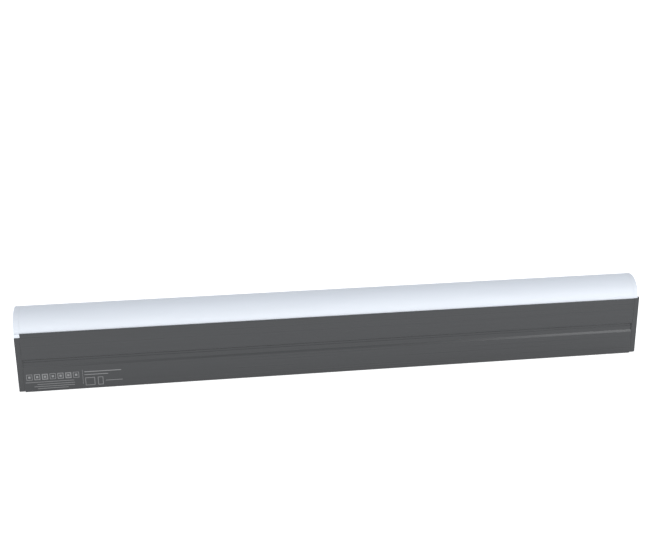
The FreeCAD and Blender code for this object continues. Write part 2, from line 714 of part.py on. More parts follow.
def make_socket(side, kind, label):
    """Flanged socket seated in an end plate: shell, insert, contacts and, on all but the inlet, a latch."""
    level = power_level if kind == "power" else data_level
    face = s("flange_sink")
    floor = face + s("plug_depth")
    rear = face + s("barrel_length")
    contact_end = rear - s("insert_step")

    def across(name, near, far, low, high):
        """Block between two depths; low and high are (y, height above the socket's axis)."""
        x0, x1 = end_span(side, near, far)
        return block(f"{label}_{name}", (x0, low[0], level + low[1]), (x1, high[0], level + high[1]))

    def barrel(name, radius, near, far, y=0, z=0):
        x0, x1 = end_span(side, near, far)
        return rod(f"{label}_{name}", radius, (x0, y, level + z), x1 - x0)

    flange_end = face + s("flange_thick")
    flange = across("flange", face, flange_end, (-flange_y, -flange_z), (flange_y, flange_z))
    shell = join(label + "_blank", flange, barrel("barrel", s("barrel_radius"), face, rear))
    tools = [barrel("mouth", plug_radius, face, floor),
             barrel("insert_seat", insert_radius + slip, floor, rear)]
    screws = flange_screw_circles(s("flange_screw_radius") + s("hole_fit"))
    for i, (y, z, radius) in enumerate(screws[:2] if kind == "power" else screws[2:]):
        tools.append(barrel(f"screw_hole_{i}", radius, face, flange_end, y, z - level))
    if label != "power_in":
        tools += make_latch(side, label, level, across)
    keep(carve(label + "_shell_cut", shell, *tools), label + "_shell")

    disc = join(label + "_insert_blank", barrel("insert_disc", insert_radius, floor, rear),
                barrel("insert_back", plug_radius + s("insert_step"), rear, rear + s("insert_back")))
    if kind == "data":
        size = 0.55 * insert_radius
        ways = [across("jack", floor, contact_end, (-1.2 * size, -size), (1.2 * size, size))]
        wire = size / 16
        start = floor + s("insert_step")
        contacts = [across(f"wire_{i}", start, contact_end, ((4 * i - 15) * wire, size - 2 * wire),
                           ((4 * i - 13) * wire, size)) for i in range(CONTACTS_IN_JACK)]
    else:
        spots = [(-0.48 * insert_radius, -0.3 * insert_radius), (0.48 * insert_radius, -0.3 * insert_radius),
                 (0, 0.5 * insert_radius)]
        start = floor - (s("pin_reach") if side < 0 else 0)
        ways = [barrel(f"way_{i}", s("contact_radius") + fit, floor, contact_end, *at)
                for i, at in enumerate(spots)]
        contacts = [barrel(f"contact_{i}", s("contact_radius"), start, contact_end, *at)
                    for i, at in enumerate(spots)]
    keep(carve(label + "_insert_cut", disc, *ways), label + "_insert")
    group(label + "_contacts", *contacts)


def make_latch(side, label, level, across):
    """Rocking lever on top of the socket. Returns the tools that cut its slot and pivot hole in the shell."""
    pivot = plug_radius + s("latch_thick") / 2 + slip
    low, high = pivot - s("latch_thick") / 2, pivot + s("latch_thick") / 2
    half, reach = s("latch_width") / 2, s("latch_width") / 2 + s("pivot_reach")
    x0, _ = end_span(side, s("latch_pivot"), s("latch_pivot"))
    end = s("latch_length")
    keep(join(label + "_latch_whole", across("lever", fit, end, (-half, low), (half, high)),
              across("hook", end - s("hook_length"), end, (-half, low - s("latch_hook")), (half, low)),
              rod(label + "_trunnion", s("pivot_radius"), (x0, -reach, level + pivot), 2 * reach, "y")),
         label + "_latch")
    side_gap = half + s("hole_fit")
    hole = reach + fit
    return [across("latch_slot", s("flange_sink"), end + s("latch_play"), (-side_gap, plug_radius / 2),
                   (side_gap, high + s("latch_play"))),
            rod(label + "_pivot_hole", s("pivot_radius") + slip, (x0, -hole, level + pivot), 2 * hole, "y")]


def make_socket_screws():
    height = s("flange_screw_height")
    depth = s("flange_sink") - height
    group("socket_screws", *[
        socket_head_screw(f"socket_screw_{end}_{i}", side, y, z, depth, s("flange_screw_radius"),
                          s("flange_screw_length"), s("flange_screw_head"), height)
        for end, side in (("left", -1), ("right", 1)) for i, (y, z, _) in enumerate(flange_screw_circles(0))])


# ---------------------------------------------------------------- small parts in the end plates

def make_button():
    """Push button: bezel seated in the left plate, plunger with a collar, and the switch that holds it."""
    y, z = side_column, data_level
    rear = s("bezel_length")
    bore = s("button_radius") + 2 * slip
    x0, x1 = end_span(-1, 0, rear)
    r0, r1 = end_span(-1, 0, s("bezel_rim_thick"))
    tube = join("bezel_blank", rod("bezel_tube", s("bezel_radius"), (x0, y, z), x1 - x0),
                rod("bezel_rim", s("bezel_rim"), (r0, y, z), r1 - r0))
    keep(carve("bezel_bored", tube, rod("bezel_bore", bore, (x0, y, z), x1 - x0)), "button_bezel")

    collar = s("button_radius") + s("button_collar")
    thick = s("button_collar")
    start = rear + fit / 2
    room = start + thick + s("button_travel") + fit
    b0, b1 = end_span(-1, fit, start + thick)
    c0, c1 = end_span(-1, start, start + thick)
    keep(join("button_whole", rod("button_plunger", s("button_radius"), (b0, y, z), b1 - b0),
              rod("button_stop", collar, (c0, y, z), c1 - c0)), "test_button")

    half = s("switch_width") / 2
    w0, w1 = end_span(-1, rear, rear + s("switch_length"))
    h0, h1 = end_span(-1, rear, room)
    keep(carve("switch_hollowed", block("switch_block", (w0, y - half, z - half), (w1, y + half, z + half)),
               rod("switch_chamber", collar + 2 * slip, (h0, y, z), h1 - h0)), "button_switch")


def make_status_light():
    y, z = -side_column, data_level
    end = s("light_length")
    x0, x1 = end_span(-1, 0, end)
    c0, c1 = end_span(-1, s("plate_thick"), s("plate_thick") + s("insert_back"))
    keep(join("light_pipe_whole", rod("light_pipe_rod", s("light_radius"), (x0, y, z), x1 - x0),
              rod("light_pipe_collar", 1.5 * s("light_radius"), (c0, y, z), c1 - c0)), "status_light_pipe")
    half = s("lamp_width") / 2
    l0, l1 = end_span(-1, end, end + s("lamp_length"))
    keep(block("lamp_block", (l0, y - half, z - half), (l1, y + half, z + half)), "status_lamp")


def make_vent():
    """Breather plug: lets the air inside change volume without letting water in."""
    y, z = side_column, power_level
    h0, h1 = end_span(-1, fit, s("vent_head_thick") + fit)
    t0, t1 = end_span(-1, fit, s("plate_thick") + s("vent_head_thick"))
    whole = join("vent_blank", rod("vent_cap", s("vent_head"), (h0, y, z), h1 - h0),
                 rod("vent_shank", s("vent_radius"), (t0, y, z), t1 - t0))
    ring = s("vent_radius") / 2
    spots = [(0, 0)] + [(ring * math.cos(turn), ring * math.sin(turn)) for turn in
                        [math.tau * i / 6 for i in range(6)]]
    keep(carve("vent_drilled", whole, *[rod(f"airway_{i}", s("airway_radius"), (t0, y + dy, z + dz), t1 - t0)
                                        for i, (dy, dz) in enumerate(spots)]), "vent_plug")


def make_safety_insert(side, label):
    """Threaded steel bush, pressed in from behind, for a safety eye bolt."""
    y, z = -side_column, power_level
    back = s("plate_thick") + s("insert_rim_thick")
    b0, b1 = end_span(side, 0, back)
    r0, r1 = end_span(side, s("plate_thick"), back)
    bush = join(label + "_blank", rod(label + "_bush", s("insert_radius"), (b0, y, z), b1 - b0),
                rod(label + "_rim", s("insert_rim"), (r0, y, z), r1 - r0))
    keep(carve(label + "_tapped", bush, rod(label + "_bore", s("insert_thread"), (b0, y, z), b1 - b0)), label)


def make_slide_nut(side, label):
    """Nut captive in the base slot, with a boss that stands in the mouth of the slot."""
    middle = side * s("nut_station")
    x0, x1 = middle - s("nut_length") / 2, middle + s("nut_length") / 2
    floor = s("recess_depth") + s("slot_lip") + fit
    low, high = floor - s("nut_boss"), floor + s("nut_height")
    wide, narrow = s("cavity_width") / 2 - 1.5 * fit, s("slot_mouth") / 2 - 1.5 * fit
    whole = join(label + "_blank", block(label + "_plate", (x0, -wide, floor), (x1, wide, high)),
                 block(label + "_boss", (x0, -narrow, low), (x1, narrow, floor)))
    bore = rod(label + "_bore", s("nut_thread"), (middle, 0, low), high - low, "z")
    keep(carve(label + "_tapped", whole, bore), label)


# ---------------------------------------------------------------- cables

def cable(name, points, radius):
    """Round cable of straight runs joined by tangent arcs, as large as the two runs at each corner allow."""
    points = [Vector(*(number(value) for value in point)) for point in points]
    radius = number(radius)
    edges, start = [], points[0]
    for before, corner, after in zip(points, points[1:], points[2:]):
        back, ahead = (before - corner).normalize(), (after - corner).normalize()
        trim = 0.45 * min((before - corner).Length, (after - corner).Length)
        first, last = corner + back * trim, corner + ahead * trim
        bend = trim / math.tan((math.pi - back.getAngle(ahead)) / 2)
        to_arc = math.hypot(bend, trim) - bend
        middle = corner + (back + ahead).normalize() * to_arc
        edges += [Part.LineSegment(start, first).toShape(), Part.Arc(first, middle, last).toShape()]
        start = last
        print(f"{name}: bend radius {bend:.1f}")
    edges.append(Part.LineSegment(start, points[-1]).toShape())
    path = Part.Wire(edges)
    ring = Part.Wire(Part.Circle(points[0], points[1] - points[0], radius).toShape())
    item = doc.addObject("Part::Feature", name)
    item.Shape = path.makePipeShell([ring], True, False)
    expected = math.pi * radius * radius * path.Length
    if abs(item.Shape.Volume - expected) > 0.01 * expected:
        raise RuntimeError(f"{name} has volume {item.Shape.Volume:.0f}, and its length needs {expected:.0f}")
    return item


def make_cables():
    """Internal wiring: mains in and through, data in and out, and the LED boards' supply, with its clips."""
    rear = half_length - s("flange_sink") - s("barrel_length") - s("insert_back")
    rail_edge = inner_half - s("rail_reach")
    run_y = (supply_half + rail_edge) / 2
    run_z = tray_top + s("clip_lift") + s("mains_radius")
    low, high = power_level, data_level
    off = 1.5 * s("mains_radius")
    leaving = [(rear, off, low), (rear - 16, off, low), (rear - 40, run_y - 4, run_z + 2),
               (rear - 64, run_y, run_z)]
    arriving = [(-x, y, z) for x, y, z in leaving]
    through = cable("mains_through_cable", arriving + leaving[::-1], s("mains_radius"))
    reach = s("supply_inset") + 2
    feed_z = tray_top + s("standoff_height") + s("circuit_thick") + 1.5 * s("mains_radius")
    feed = cable("mains_feed_cable", [
        (-rear, -off, low), (-rear + 30, -off, low), (supply_x - 60, -off / 2, feed_z + 1),
        (supply_x - 25, 0, feed_z), (supply_x + reach, 0, feed_z)], s("mains_radius"))
    group("mains_cables", through, feed)

    stations = [-rear + 90, supply_x + s("supply_length") / 2, -50, controller_x + s("controller_length") / 2,
                rear - 90]
    half, clip_half = s("clip_length") / 2, (rail_edge - supply_half) / 2 - fit
    group("cable_clips", *[
        carve(f"clip_{i}", block(f"clip_{i}_block", (x - half, run_y - clip_half, tray_top),
                                 (x + half, run_y + clip_half, run_z)),
              rod(f"clip_{i}_cradle", s("mains_radius"), (x - half, run_y, run_z), s("clip_length")))
        for i, x in enumerate(stations)])

    header_z = tray_top + s("standoff_height") + s("circuit_thick") + 1.8 * s("data_radius")
    aside = 5 * s("data_radius")
    in_x = controller_x + 0.06 * s("controller_length")
    out_x = controller_x + 0.94 * s("controller_length")
    incoming = cable("data_in_cable", [
        (-rear, 0, high), (-rear + 25, 0, high), (-rear + 60, -aside, high - 2), (in_x - 90, -aside, high - 3),
        (in_x - 55, -aside / 2, (high + header_z) / 2), (in_x - 20, 0, header_z), (in_x, 0, header_z)],
        s("data_radius"))
    outgoing = cable("data_out_cable", [
        (out_x, 0, header_z), (out_x + 20, 0, header_z), (out_x + 55, 0, (high + header_z) / 2),
        (out_x + 90, 0, high - 3), (rear - 30, 0, high), (rear, 0, high)], s("data_radius"))
    group("data_cables", incoming, outgoing)

    feed_x = feed_station()
    start_x = supply_x + s("supply_length") - reach
    board_top = shelf_top + s("pad_thick") + s("board_thick")
    rise = board_top - feed_z
    keep(cable("led_supply_lead", [
        (start_x, 0, feed_z), (start_x + 25, 0, feed_z), (feed_x - 25, 0, feed_z + 2),
        (feed_x, 0, feed_z + 0.4 * rise), (feed_x, 0, board_top)], s("data_radius")), "led_feed_cable")


# ---------------------------------------------------------------- build, check and write

make_housing()
for end_side, end_name, way in ((-1, "left", "in"), (1, "right", "out")):
    make_end_plate(end_side, f"end_plate_{end_name}")
    make_gasket(end_side, f"end_gasket_{end_name}")
    make_plate_screws(end_side, f"end_plate_screws_{end_name}")
    make_diffuser_cap(end_side, f"diffuser_cap_{end_name}")
    make_safety_insert(end_side, f"safety_insert_{end_name}")
    make_slide_nut(end_side, f"slide_nut_{end_name}")
    for socket_kind in ("power", "data"):
        make_socket(end_side, socket_kind, f"{socket_kind}_{way}")
make_socket_screws()
make_diffuser()
make_light_engine()
make_reflectors()
make_tray()
make_supply()
make_controller()
make_button()
make_status_light()
make_vent()
make_cables()
doc.recompute()

for item in doc.Objects:
    if "Invalid" in item.State or "Error" in item.State:
        raise RuntimeError(f"{item.Name} failed: {item.State}")
for item in pockets:
    if item.Shape.Volume >= item.BaseFeature.Shape.Volume:
        raise RuntimeError(f"{item.Name} removes nothing")
for item in solids:
    if item.Shape.isNull() or not item.Shape.isValid() or not item.Shape.Solids:
        raise RuntimeError(f"{item.Label} has no valid solid")
os.makedirs("parts", exist_ok=True)
for item in solids:
    item.Shape.exportStep(f"parts/{item.Label}.step")
    print(f"{item.Label}: {len(item.Shape.Solids)} solids, {item.Shape.Volume / 1000:.2f} cm3")
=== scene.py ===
"""LED strip batten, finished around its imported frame: an anodised extrusion with an opal half-round diffuser,
milled end plates with their sockets, the LED boards on the shelf and the electronics on the tray below.

Metres, X along the batten, front face towards -Y, +Z up, origin at the middle of the base.
"""

import math

import bmesh
import bpy
from mathutils import Matrix, Vector


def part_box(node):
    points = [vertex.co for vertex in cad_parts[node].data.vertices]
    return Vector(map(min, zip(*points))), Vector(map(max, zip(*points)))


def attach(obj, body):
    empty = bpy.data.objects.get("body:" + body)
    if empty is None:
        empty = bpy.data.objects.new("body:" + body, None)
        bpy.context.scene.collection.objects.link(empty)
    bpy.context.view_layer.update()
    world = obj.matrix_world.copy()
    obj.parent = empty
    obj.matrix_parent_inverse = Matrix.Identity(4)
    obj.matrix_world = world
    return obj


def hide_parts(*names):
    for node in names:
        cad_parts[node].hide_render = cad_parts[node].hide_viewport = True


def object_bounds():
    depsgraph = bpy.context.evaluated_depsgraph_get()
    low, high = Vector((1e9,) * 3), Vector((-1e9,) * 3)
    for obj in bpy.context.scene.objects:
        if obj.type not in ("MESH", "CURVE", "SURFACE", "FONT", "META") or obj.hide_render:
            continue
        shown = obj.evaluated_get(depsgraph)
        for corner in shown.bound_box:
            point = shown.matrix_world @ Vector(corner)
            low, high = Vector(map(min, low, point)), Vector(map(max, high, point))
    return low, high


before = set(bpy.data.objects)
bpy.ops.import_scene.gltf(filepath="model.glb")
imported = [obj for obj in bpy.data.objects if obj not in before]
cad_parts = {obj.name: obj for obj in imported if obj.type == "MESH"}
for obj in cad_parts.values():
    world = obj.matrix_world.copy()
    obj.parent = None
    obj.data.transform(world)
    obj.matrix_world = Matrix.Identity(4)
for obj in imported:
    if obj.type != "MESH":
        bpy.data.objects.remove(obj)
cad_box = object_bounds()

# ---------------------------------------------------------------- floor, light and camera
# A white studio floor that is lit through from below, a sky that is brighter low down than overhead, a key
# soft box in front of the right end and a larger, weaker one in front of the left. The camera stands to the
# left of the middle, above the batten.
MM = 0.001


def new_object(name, data):
    made = bpy.data.objects.new(name, data)
    bpy.context.scene.collection.objects.link(made)
    return made


def glow(tree, colour, strength):
    """Emission node of one colour."""
    node = tree.nodes.new("ShaderNodeEmission")
    node.inputs["Color"].default_value = (*colour, 1)
    node.inputs["Strength"].default_value = strength
    return node


def white_floor(brightness=0.72):
    """Floor material: pale, with a glow of its own, and clear from underneath."""
    material = bpy.data.materials.new("white_floor")
    material.use_nodes = True
    tree = material.node_tree
    paint = tree.nodes["Principled BSDF"]
    paint.inputs["Base Color"].default_value = (0.8, 0.8, 0.8, 1)
    paint.inputs["Roughness"].default_value = 0.9
    paint.inputs["Specular IOR Level"].default_value = 0
    both = tree.nodes.new("ShaderNodeAddShader")
    tree.links.new(paint.outputs[0], both.inputs[0])
    tree.links.new(glow(tree, (1, 1, 1), brightness).outputs[0], both.inputs[1])
    side = tree.nodes.new("ShaderNodeNewGeometry")
    clear = tree.nodes.new("ShaderNodeBsdfTransparent")
    choice = tree.nodes.new("ShaderNodeMixShader")
    tree.links.new(side.outputs["Backfacing"], choice.inputs[0])
    tree.links.new(both.outputs[0], choice.inputs[1])
    tree.links.new(clear.outputs[0], choice.inputs[2])
    tree.links.new(choice.outputs[0], tree.nodes["Material Output"].inputs["Surface"])
    return material


def make_floor(half_side=30, drop=0.05 * MM):
    corners = [(-half_side, -half_side, -drop), (half_side, -half_side, -drop),
               (half_side, half_side, -drop), (-half_side, half_side, -drop)]
    mesh = bpy.data.meshes.new("floor")
    mesh.from_pydata(corners, [], [(0, 1, 2, 3)])
    mesh.materials.append(white_floor())
    new_object("floor", mesh)


def make_sky(low=1.15, high=0.58):
    """White all round at eye level, fading to a soft grey-blue overhead."""
    world = bpy.data.worlds.new("studio")
    world.use_nodes = True
    tree = world.node_tree
    place = tree.nodes.new("ShaderNodeTexCoord")
    parts = tree.nodes.new("ShaderNodeSeparateXYZ")
    ramp = tree.nodes.new("ShaderNodeValToRGB")
    ramp.color_ramp.elements[0].color = (low, low, low, 1)
    ramp.color_ramp.elements[1].color = (high * 0.95, high, high * 1.08, 1)
    tree.links.new(place.outputs["Generated"], parts.inputs[0])
    tree.links.new(parts.outputs["Z"], ramp.inputs[0])
    tree.links.new(ramp.outputs[0], tree.nodes["Background"].inputs["Color"])
    bpy.context.scene.world = world


def make_soft_box(name, place, target, width, height, power):
    lamp = bpy.data.lights.new(name, "AREA")
    lamp.shape = "RECTANGLE"
    lamp.size, lamp.size_y, lamp.energy = width, height, power
    box = new_object(name, lamp)
    box.location = place
    box.rotation_euler = (Vector(place) - Vector(target)).to_track_quat("Z", "Y").to_euler()


def make_camera(eye=(-0.230, -1.468, 0.628), yaw=8.09, pitch=17.90, roll=-0.51, lens=54.52):
    """Yaw is to the right of +Y, pitch is downwards, and roll leans the camera, in degrees."""
    camera = new_object("camera", bpy.data.cameras.new("camera"))
    camera.data.lens = lens
    camera.data.sensor_width = 36
    heading = Matrix.Rotation(-math.radians(yaw), 4, "Z")
    turned = heading @ Matrix.Rotation(math.radians(90 - pitch), 4, "X")
    camera.matrix_world = Matrix.Translation(eye) @ turned @ Matrix.Rotation(math.radians(roll), 4, "Z")
    bpy.context.scene.camera = camera


make_floor()
make_sky()
make_soft_box("key_box", place=(1.5, -1.75, 0.95), target=(0.4, 0, 0.05), width=1.0, height=0.6,
              power=11)
make_soft_box("fill_box", place=(-1.5, -2.0, 0.9), target=(-0.4, 0, 0.08), width=1.6, height=0.8,
              power=5)
make_camera()
bpy.context.scene.view_settings.view_transform = "Standard"

# ---------------------------------------------------------------- housing
# The batten's body: one aluminium extrusion, dark grey anodised, with a clip groove along both sides and a
# T-slot in the base. Inside are a bay for the electronics, a shelf for the LED boards, and grooves that the
# diffuser slides into.
housing_low, housing_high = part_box("housing")
top = housing_high.z / MM
half_width = housing_high.y / MM
half_length = cad_box[1][0] / MM
WELD = 0.002 * MM


class Steps:
    """A geometry tree written step by step, with a named input for each of its sizes."""

    def __init__(self, name, **sizes):
        self.tree = bpy.data.node_groups.new(name, "GeometryNodeTree")
        self.sizes = sizes
        for way in ("INPUT", "OUTPUT"):
            self.tree.interface.new_socket("Geometry", in_out=way, socket_type="NodeSocketGeometry")
        self.sockets = {}
        for label, value in sizes.items():
            kinds = {bool: "Bool", int: "Int", float: "Float", tuple: "Vector"}
            kind = "NodeSocket" + kinds.get(type(value), "Material")
            socket = self.tree.interface.new_socket(label, in_out="INPUT", socket_type=kind)
            self.sockets[label] = socket.identifier
        self.given = self.tree.nodes.new("NodeGroupInput").outputs

    def add(self, kind, links=None, out=0, **settings):
        """Adds a node, with its properties in settings and its inputs in links, and returns an output."""
        prefix = "" if kind.startswith(("Shader", "Function")) else "GeometryNode"
        node = self.tree.nodes.new(prefix + kind)
        for name, value in settings.items():
            setattr(node, name, value)
        for name, value in (links or {}).items():
            for each in value if isinstance(value, list) else [value]:
                if isinstance(each, bpy.types.NodeSocket):
                    self.tree.links.new(each, node.inputs[name])
                else:
                    node.inputs[name].default_value = each
        return node.outputs[out]

    def vector(self, x=0, y=0, z=0):
        return self.add("ShaderNodeCombineXYZ", dict(X=x, Y=y, Z=z))

    def end(self, geometry):
        """The last steps of every tree: real geometry, with its finish on it."""
        solid = self.add("RealizeInstances", dict(Geometry=geometry))
        painted = self.add("SetMaterial", dict(Geometry=solid, Material=self.given["Finish"]))
        self.tree.links.new(painted, self.tree.nodes.new("NodeGroupOutput").inputs[0])


def run_tree(steps, source, name, body, smooth=30, **sizes):
    """Runs a tree on a curve or mesh, and returns its result as a plain mesh that rides on a body."""
    carrier = new_object(name + "_carrier", source)
    modifier = carrier.modifiers.new("tree", "NODES")
    modifier.node_group = steps.tree
    for label, identifier in steps.sockets.items():
        modifier[identifier] = sizes.get(label, steps.sizes[label])
    bpy.context.view_layer.update()
    shaped = carrier.evaluated_get(bpy.context.evaluated_depsgraph_get())
    mesh = bpy.data.meshes.new_from_object(shaped)
    bpy.data.objects.remove(carrier)
    shape = bmesh.new()
    shape.from_mesh(mesh)
    bmesh.ops.remove_doubles(shape, verts=shape.verts, dist=WELD)
    bmesh.ops.recalc_face_normals(shape, faces=shape.faces)
    for face in shape.faces:
        face.smooth = True
    shape.to_mesh(mesh)
    shape.free()
    mesh.set_sharp_from_angle(angle=math.radians(smooth))
    mesh.name = name
    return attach(new_object(name, mesh), body)


def section_curve(name, loops):
    """Closed outlines of (y, z, corner radius) in millimetres. A point's radius is that of its corner."""
    curve = bpy.data.curves.new(name, "CURVE")
    curve.dimensions = "3D"
    for loop in loops:
        line = curve.splines.new("POLY")
        line.points.add(len(loop) - 1)
        line.use_cyclic_u = True
        for point, (y, z, radius) in zip(line.points, loop):
            point.co = (y * MM, z * MM, 0, 1)
            point.radius = radius * MM
    return curve


def extrusion_steps(name):
    """Rounds the corners of a section, fills it and draws it out along X, as a die does."""
    steps = Steps(name, Start=0.0, Length=1.0, Finish=None)
    size = steps.add("InputRadius")
    outline = steps.add("FilletCurve", dict(Curve=steps.given["Geometry"], Count=3, Radius=size,
                                            **{"Limit Radius": True}), mode="POLY")
    face = steps.add("FillCurve", dict(Curve=outline))
    drawn = steps.add("ExtrudeMesh", {"Mesh": face, "Offset": steps.vector(z=steps.given["Length"]),
                                      "Offset Scale": 1.0, "Individual": False})
    solid = steps.add("JoinGeometry", dict(Geometry=[drawn, steps.add("FlipFaces", dict(Mesh=face))]))
    turned = steps.add("Transform", dict(Geometry=solid, Translation=steps.vector(steps.given["Start"]),
                                         Rotation=(math.pi / 2, 0, math.pi / 2)))
    steps.end(turned)
    return steps


def mirrored(half):
    """Closes an outline drawn on the +Y side by its mirror image."""
    return half + [(-y, z, radius) for y, z, radius in reversed(half)]


def rounded(points, radius):
    return [(y, z, radius) for y, z in points]


def ring(y, z, radius, count=48):
    turns = [math.tau * i / count for i in range(count)]
    return [(y + radius * math.cos(turn), z + radius * math.sin(turn), 0) for turn in turns]


CLIP_TOP, CLIP_LOW, CLIP_FLOOR, CLIP_SHALLOW, CLIP_STEP, CLIP_RAMP = 53.5, 38.5, 2, 1.5, 49, 42
SLOT_TOP, SLOT_LOW, SLOT_HALF, MOUTH_HALF = 9.7, 4, 6.75, 4.1
RECESS_DEPTH, RECESS_HALF, RECESS_FLOOR_HALF = 1.5, 7.5, 6
WALL, SHELF_TOP, SHELF_LOW, LEDGE = 2.5, top - 14.5, top - 17, 12.2
SEAT_HALF, SEAT_LEVEL, LIP_HALF = half_width - 4, top - 3.4, 32.5
GROOVE_TOP, GROOVE_LOW, GROOVE_DEPTH = top - 8, top - 11, 2
RIB_HALF, RIB_THICK, RIB_HEIGHT = 15.3, 1.2, 2.2
RAIL_LOW, RAIL_TOP, RAIL_DEPTH = 14, 16, 2.5
PORT_Y, PORT_LEVELS, PORT_RADIUS = half_width - 6.3, (6.3, SHELF_LOW - 4), 2.05
PORT_BLOCK, PORT_BLOCK_HEIGHT, SLOT_BLOCK_HALF, SLOT_BLOCK_TOP, BAY_SKIN = 10.5, 8, 8.75, 11.7, 2
BOTTOM_CHAMFER = 0.8


def housing_loops():
    """Outer outline, bay and screw ports. The base slot and the channel follow the outline round."""
    base_slot = [(SLOT_HALF, SLOT_TOP), (SLOT_HALF, SLOT_LOW), (MOUTH_HALF, SLOT_LOW),
                 (MOUTH_HALF, RECESS_DEPTH), (RECESS_FLOOR_HALF, RECESS_DEPTH), (RECESS_HALF, 0)]
    clip_groove = [(half_width - depth, level) for depth, level in (
        (0, CLIP_LOW), (CLIP_SHALLOW, CLIP_RAMP), (CLIP_SHALLOW, CLIP_STEP - 0.5), (CLIP_FLOOR, CLIP_STEP),
        (CLIP_FLOOR, CLIP_TOP - 1.5), (0, CLIP_TOP))]
    groove_half, rib_half, rib_top = SEAT_HALF + GROOVE_DEPTH, RIB_HALF + RIB_THICK, SHELF_TOP + RIB_HEIGHT
    channel = [(LIP_HALF, top), (LIP_HALF, SEAT_LEVEL), (SEAT_HALF, SEAT_LEVEL), (SEAT_HALF, GROOVE_TOP),
               (groove_half, GROOVE_TOP), (groove_half, GROOVE_LOW), (SEAT_HALF, GROOVE_LOW),
               (SEAT_HALF, SHELF_TOP), (rib_half, SHELF_TOP), (rib_half, rib_top), (RIB_HALF, rib_top),
               (RIB_HALF, SHELF_TOP)]
    chamfer = [(half_width - BOTTOM_CHAMFER, 0), (half_width, BOTTOM_CHAMFER)]
    outer = (rounded(base_slot, 0.25) + rounded(chamfer, 0.5)
             + rounded(clip_groove, 0.25) + rounded([(half_width, top)], 0.5) + rounded(channel, 0.25))
    inner, port, bay = half_width - WALL, half_width - PORT_BLOCK, half_width - CLIP_FLOOR - BAY_SKIN
    rail, port_low = inner - RAIL_DEPTH, SHELF_LOW - PORT_BLOCK_HEIGHT
    hollow = [(SLOT_BLOCK_HALF, SLOT_BLOCK_TOP), (SLOT_BLOCK_HALF, WALL), (port, WALL), (port, LEDGE),
              (inner, LEDGE), (inner, RAIL_LOW), (rail, RAIL_LOW), (rail, RAIL_TOP), (inner, RAIL_TOP),
              (inner, CLIP_LOW - BAY_SKIN), (bay, CLIP_LOW - BAY_SKIN), (bay, CLIP_TOP + BAY_SKIN),
              (inner, CLIP_TOP + BAY_SKIN), (inner, port_low), (port, port_low), (port, SHELF_LOW)]
    ports = [ring(side * PORT_Y, level, PORT_RADIUS) for side in (-1, 1) for level in PORT_LEVELS]
    return [mirrored(outer), mirrored(rounded(hollow, 0.4))] + ports


def finish(name, colour, roughness, metal=0.0, tone=0.12, grain=(300, 300, 300), bump=0.01, detail=3,
           rough_range=0.06, **shader):
    """Surface whose colour, gloss and relief vary together over a noise grain, given in cycles per metre."""
    material = bpy.data.materials.new(name)
    material.use_nodes = True
    tree = material.node_tree
    surface = tree.nodes["Principled BSDF"]
    surface.inputs["Metallic"].default_value = metal
    for socket, value in shader.items():
        surface.inputs[socket.replace("_", " ")].default_value = value
    place = tree.nodes.new("ShaderNodeTexCoord")
    stretch = tree.nodes.new("ShaderNodeMapping")
    stretch.inputs["Scale"].default_value = grain
    noise = tree.nodes.new("ShaderNodeTexNoise")
    noise.inputs["Scale"].default_value = 1
    noise.inputs["Detail"].default_value = detail
    shades = tree.nodes.new("ShaderNodeValToRGB")
    darkest, palest = 0.3, 0.7
    for element, level, share in zip(shades.color_ramp.elements, (darkest, palest), (1 - tone, 1 + tone)):
        element.position = level
        element.color = (*(min(1, part * share) for part in colour), 1)
    gloss = tree.nodes.new("ShaderNodeMapRange")
    gloss.inputs["From Min"].default_value, gloss.inputs["From Max"].default_value = darkest, palest
    gloss.inputs["To Min"].default_value = roughness - rough_range
    gloss.inputs["To Max"].default_value = roughness + rough_range
    relief = tree.nodes.new("ShaderNodeBump")
    relief.inputs["Strength"].default_value = 0.6
    relief.inputs["Distance"].default_value = bump * MM
    link = tree.links.new
    link(place.outputs["Object"], stretch.inputs["Vector"])
    link(stretch.outputs["Vector"], noise.inputs["Vector"])
    for node, socket in ((shades, "Fac"), (gloss, "Value"), (relief, "Height")):
        link(noise.outputs["Fac"], node.inputs[socket])
    link(shades.outputs["Color"], surface.inputs["Base Color"])
    link(gloss.outputs["Result"], surface.inputs["Roughness"])
    link(relief.outputs["Normal"], surface.inputs["Normal"])
    return material


anodised = finish("anodised_extrusion", (0.0485, 0.050, 0.052), 0.31, metal=0.35, tone=0.04,
                  grain=(1.5, 260, 420), bump=0.008, detail=5)
drawn_section = extrusion_steps("drawn_section")
undrilled = run_tree(drawn_section, section_curve("housing_section", housing_loops()), "housing_undrilled",
                     "batten", Start=housing_low.x, Length=housing_high.x - housing_low.x, Finish=anodised)


